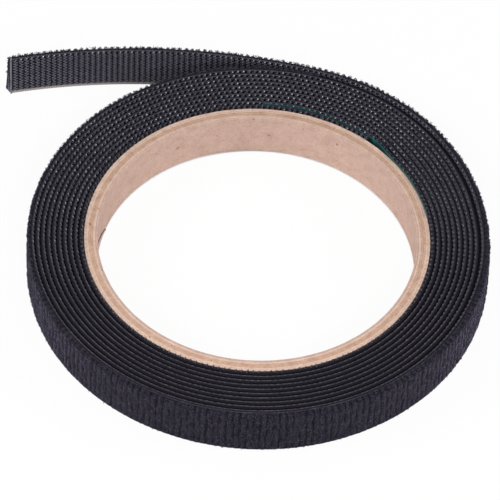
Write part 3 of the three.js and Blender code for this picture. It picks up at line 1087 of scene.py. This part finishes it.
def wound_tape():
    """Everything of the tape from its inner end to just before the peel line."""
    # The first turn takes the darker copies of the edge yarn and cord, as painted shade.
    stretches = (
        ("first_turn", 0, FIRST_TURN_END, FIRST_TURN_SHADED_YARN, FIRST_CORD_SHADED_NYLON),
        ("inner_turns", FIRST_TURN_END, MIDDLE_TURN_END, EDGE_YARN, EDGE_CORD_NYLON),
        ("outer_turns", MIDDLE_TURN_END, WOUND_END, EDGE_YARN, EDGE_CORD_NYLON),
    )
    hook_pieces = []
    loop_pieces = []
    for turns, start, end, yarn, cord_yarn in stretches:
        upper = hooks(start, end, hook_rows()[-RIB_EDGE_ROWS:])
        ends = rib_ends(start, end)
        cord = edge_cord(start, end)
        hook_pieces += [
            tape_piece(f"hooks_upper_{turns}", upper, HOOK_NYLON, faceted=True),
            tape_piece(f"rib_ends_{turns}", ends, RIB_END_GLINT_NYLON, faceted=True),
            tape_piece(f"edge_cord_{turns}", cord, cord_yarn),
        ]
        for edge, is_upper in (("upper", True), ("lower", False)):
            weft = edge_turns(start, end, is_upper)
            hook_pieces.append(tape_piece(f"edge_yarn_{edge}_{turns}", weft, yarn))
    knots = edge_knots(0, FIRST_TURN_END)
    hook_pieces.append(tape_piece("edge_knots_first_turn", knots, KNOT_NYLON))
    ribs = inner_ribs(0, WOUND_END)
    hook_pieces.append(tape_piece("inner_ribs", ribs, HOOK_CLOTH_FINISH))
    pressed = pressed_pile(0, OUTER_TURN_START)
    loop_pieces.append(tape_piece("pressed_pile", pressed, PRESSED_LOOPS))
    body = pile_body(OUTER_TURN_START, WOUND_END)
    loop_pieces.append(tape_piece("outer_pile_body", body, LOOP_PILE))
    tufts = edge_tufts(OUTER_TURN_START, WOUND_END)
    loop_pieces.append(tape_piece("outer_pile_tufts", tufts, LOOP_PILE))
    cuts = np.linspace(OUTER_TURN_START, WOUND_END, OUTER_LOOP_PIECES + 1)
    for number, (start, end) in enumerate(zip(cuts, cuts[1:]), 1):
        loops = pile_loops(start, end)
        loop_pieces.append(tape_piece(f"outer_pile_loops_{number}", loops, LOOP_PILE))
    for piece in hook_pieces + loop_pieces:
        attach(piece, "roll")
    return hook_pieces, loop_pieces


def wound_cloth(hook_pieces, loop_pieces):
    """The two long strips of cloth, each attached to the roll in place of its solid."""
    hook_mesh = cloth(0, WOUND_END, HOOK_CLOTH_INSET, HOOK_CLOTH)
    hook_cloth = tape_piece("hook_cloth_wound", hook_mesh, HOOK_CLOTH_FINISH)
    loop_mesh = cloth(0, WOUND_END, LOOP_CLOTH_INSET, LOOP_CLOTH)
    loop_cloth = tape_piece("loop_cloth_wound", loop_mesh, LOOP_CLOTH_FINISH)
    for strip_piece, node, pieces in (
        (hook_cloth, "hook_tape_wound", hook_pieces),
        (loop_cloth, "loop_tape_wound", loop_pieces),
    ):
        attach(strip_piece, "roll")
        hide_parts(node)


wound_cloth(*wound_tape())


# Free end

CUT_END_REACH = (0.3 * MM, 0.08 * MM)
CUT_END_DEPTHS = (HOOK_CLOTH[0] - 0.16 * MM, LOOP_CLOTH[1] - 0.02 * MM)
CUT_END_ROUNDING = 0.12 * MM
CUT_END_STEP = 0.1 * MM
CUT_END_CUTS = 30
CUT_END_ROUGHNESS = 0.05 * MM
CUT_END_GRAIN = 0.8 * MM


def tail_length(number):
    """One length of the free end, from half way before its hinge to half way to the next."""
    start = WOUND_LENGTH + (number - 1.5) * TAIL_PIECE_LENGTH
    bend_end = start + TAIL_PIECE_LENGTH
    end = bend_end if number < TAIL_PIECES else bend_end + TAIL_PIECE_LENGTH / 2
    hook_mesh = cloth(start, end, HOOK_CLOTH_INSET, HOOK_CLOTH)
    loop_mesh = cloth(start, end, LOOP_CLOTH_INSET, LOOP_CLOTH)
    ends = rib_ends(start, end)
    cord = edge_cord(start, end)
    hook_cloth = tape_piece(f"hook_cloth_tail_{number}", hook_mesh, HOOK_CLOTH_FINISH)
    loop_cloth = tape_piece(f"loop_cloth_tail_{number}", loop_mesh, LOOP_CLOTH_FINISH)
    standing = hooks(start, end, hook_rows())
    on_hooks = [
        tape_piece(f"hooks_tail_{number}", standing, HOOK_NYLON, faceted=True),
        tape_piece(f"rib_ends_tail_{number}", ends, RIB_END_GLINT_NYLON, faceted=True),
        tape_piece(f"edge_cord_tail_{number}", cord, EDGE_CORD_NYLON),
    ]
    # The free end's upper edge yarn is the lighter copy, as painted light.
    for edge, is_upper, yarn in (("upper", True, FREE_EDGE_LIT_YARN), ("lower", False, SELVAGE_YARN)):
        turns = edge_turns(start, end, is_upper)
        on_hooks.append(tape_piece(f"edge_yarn_{edge}_tail_{number}", turns, yarn))
    last = number == TAIL_PIECES
    pile_end = end + PILE_OVERHANG if last else end
    body = pile_body(start, pile_end, free=last)
    loops = pile_loops(start, pile_end, free=last)
    tufts = edge_tufts(start, pile_end)
    on_loops = [
        tape_piece(f"pile_body_tail_{number}", body, LOOP_PILE),
        tape_piece(f"pile_loops_tail_{number}", loops, LOOP_PILE),
        tape_piece(f"pile_tufts_tail_{number}", tufts, LOOP_PILE),
    ]
    if last:
        on_hooks.append(cut_end(end))
    for piece in [hook_cloth, loop_cloth, *on_hooks, *on_loops]:
        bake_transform(piece)
    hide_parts(f"hook_tape_tail_{number}")
    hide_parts(f"loop_tape_tail_{number}")


def cut_end(end):
    """The melted bead along the cut end of the tape."""
    mesh = strip(
        end - CUT_END_REACH[0],
        end + CUT_END_REACH[1],
        CUT_END_STEP,
        0,
        TAPE_WIDTH,
        CUT_END_DEPTHS,
        CUT_END_ROUNDING,
        CUT_END_CUTS,
        CUT_END_CUTS,
    )
    flat = coordinates(mesh)
    flat[:, 0] += CUT_END_ROUGHNESS * value_noise(flat[:, 1:2], CUT_END_GRAIN)
    place(mesh, flat)
    return tape_piece("tail_cut_end", mesh, CUT_END_NYLON)


for length_number in range(1, TAIL_PIECES + 1):
    tail_length(length_number)


# Floor, light and camera

FLOOR_SIZE = 3
FLOOR_WHITE = (0.9, 0.9, 0.9, 1)
FLOOR_GLOW = 0.94
SKY_LEVEL = 0.45
LAMP_SIZE = 0.3
LAMPS = (
    ("front_light", (0.05, -0.78, 0.62), 3.9),
    ("left_light", (-0.8, -0.15, 0.58), 3.9),
    ("right_light", (0.8, 0.0, 0.55), 2.9),
)


def direct_rays(tree):
    """1 where the camera sees a surface straight on, in a reflection or through something clear."""
    rays = tree.nodes.new("ShaderNodeLightPath").outputs
    reflected = joined(tree, "MAXIMUM", rays["Is Camera Ray"], rays["Is Glossy Ray"])
    return joined(tree, "MAXIMUM", reflected, rays["Is Transmission Ray"])


def beside_roll(tree):
    """0 on the floor under the core and the inner turns, and 1 elsewhere."""
    spot = tree.nodes.new("ShaderNodeTexCoord")
    from_axis = tree.nodes.new("ShaderNodeVectorMath")
    from_axis.operation = "DISTANCE"
    from_axis.inputs[1].default_value = (*ROLL_AXIS, 0)
    tree.links.new(spot.outputs["Object"], from_axis.inputs[0])
    reach = from_axis.outputs["Value"]
    in_bore = joined(tree, "LESS_THAN", reach, ring_radii("core_inner_liner")[0])
    middle_of_turns = FIRST_TURN_RADIUS + FULL_TURNS / 2 * TURN_PITCH
    return joined(tree, "MAXIMUM", in_bore, joined(tree, "GREATER_THAN", reach, middle_of_turns))


def floor():
    """A plain white table that keeps the roll's shadow, and glows white except under the roll."""
    bm = bmesh.new()
    bmesh.ops.create_grid(bm, x_segments=1, y_segments=1, size=FLOOR_SIZE)
    table = bpy.data.objects.new("floor", to_mesh(bm, "floor"))
    bpy.context.collection.objects.link(table)
    material = bpy.data.materials.new("floor_white")
    material.use_nodes = True
    tree = material.node_tree
    shader = tree.nodes["Principled BSDF"]
    shader.inputs["Base Color"].default_value = FLOOR_WHITE
    shader.inputs["Roughness"].default_value = 0.9
    glow = tree.nodes.new("ShaderNodeEmission")
    glow.inputs["Strength"].default_value = 1
    seen = joined(tree, "MULTIPLY", direct_rays(tree), FLOOR_GLOW)
    mix = tree.nodes.new("ShaderNodeMixShader")
    tree.links.new(joined(tree, "MULTIPLY", seen, beside_roll(tree)), mix.inputs["Fac"])
    tree.links.new(shader.outputs["BSDF"], mix.inputs[1])
    tree.links.new(glow.outputs["Emission"], mix.inputs[2])
    tree.links.new(mix.outputs["Shader"], tree.nodes["Material Output"].inputs["Surface"])
    table.data.materials.append(material)


def area_light(name, place_at, power):
    """A soft square lamp that faces the roll."""
    light = bpy.data.lights.new(name, "AREA")
    light.size = LAMP_SIZE
    light.energy = power
    lamp = bpy.data.objects.new(name, light)
    bpy.context.collection.objects.link(lamp)
    lamp.location = place_at
    lamp.rotation_euler = (-Vector(place_at)).to_track_quat("-Z", "Y").to_euler()


def daylight():
    """Soft light from all sides, with white where the camera sees past the floor."""
    world = bpy.data.worlds.new("daylight")
    world.use_nodes = True
    tree = world.node_tree
    soft = tree.nodes["Background"]
    white = tree.nodes.new("ShaderNodeBackground")
    for background, level in ((soft, SKY_LEVEL), (white, 1)):
        background.inputs["Color"].default_value = WHITE
        background.inputs["Strength"].default_value = level
    mix = tree.nodes.new("ShaderNodeMixShader")
    tree.links.new(direct_rays(tree), mix.inputs["Fac"])
    tree.links.new(soft.outputs["Background"], mix.inputs[1])
    tree.links.new(white.outputs["Background"], mix.inputs[2])
    tree.links.new(mix.outputs["Shader"], tree.nodes["World Output"].inputs["Surface"])
    bpy.context.scene.world = world


# Camera, fitted to the roll's outlines in the photograph.
PHOTO_SIZE = 500
FOCAL_PIXELS = 6000
SENSOR_WIDTH = 36
EYE_DISTANCE = 1440 * MM
EYE_ELEVATION = 0.8636
CAMERA_YAW = -0.0017
CAMERA_PITCH = 0.8603
CAMERA_ROLL = 0.0462


def camera():
    """The photograph's view of the roll."""
    yaw, pitch, roll = CAMERA_YAW, CAMERA_PITCH, CAMERA_ROLL
    forward = Vector((math.sin(yaw) * math.cos(pitch), math.cos(yaw) * math.cos(pitch), -math.sin(pitch)))
    level = Vector((math.cos(yaw), -math.sin(yaw), 0))
    upright = level.cross(forward)
    right = math.cos(roll) * level + math.sin(roll) * upright
    up = math.cos(roll) * upright - math.sin(roll) * level
    eye = Vector((0, -math.cos(EYE_ELEVATION), math.sin(EYE_ELEVATION))) * EYE_DISTANCE
    turned = Matrix((right, up, -forward)).transposed().to_4x4()
    lens = bpy.data.cameras.new("camera")
    lens.sensor_width = SENSOR_WIDTH
    lens.lens = FOCAL_PIXELS / PHOTO_SIZE * SENSOR_WIDTH
    lens.clip_end = 20
    view = bpy.data.objects.new("camera", lens)
    bpy.context.collection.objects.link(view)
    view.matrix_world = Matrix.Translation(Vector((*ROLL_AXIS, 0)) + eye) @ turned
    bpy.context.scene.camera = view


floor()
daylight()
for lamp_name, lamp_place, lamp_power in LAMPS:
    area_light(lamp_name, lamp_place, lamp_power)
camera()
bpy.context.scene.view_settings.view_transform = "Standard"
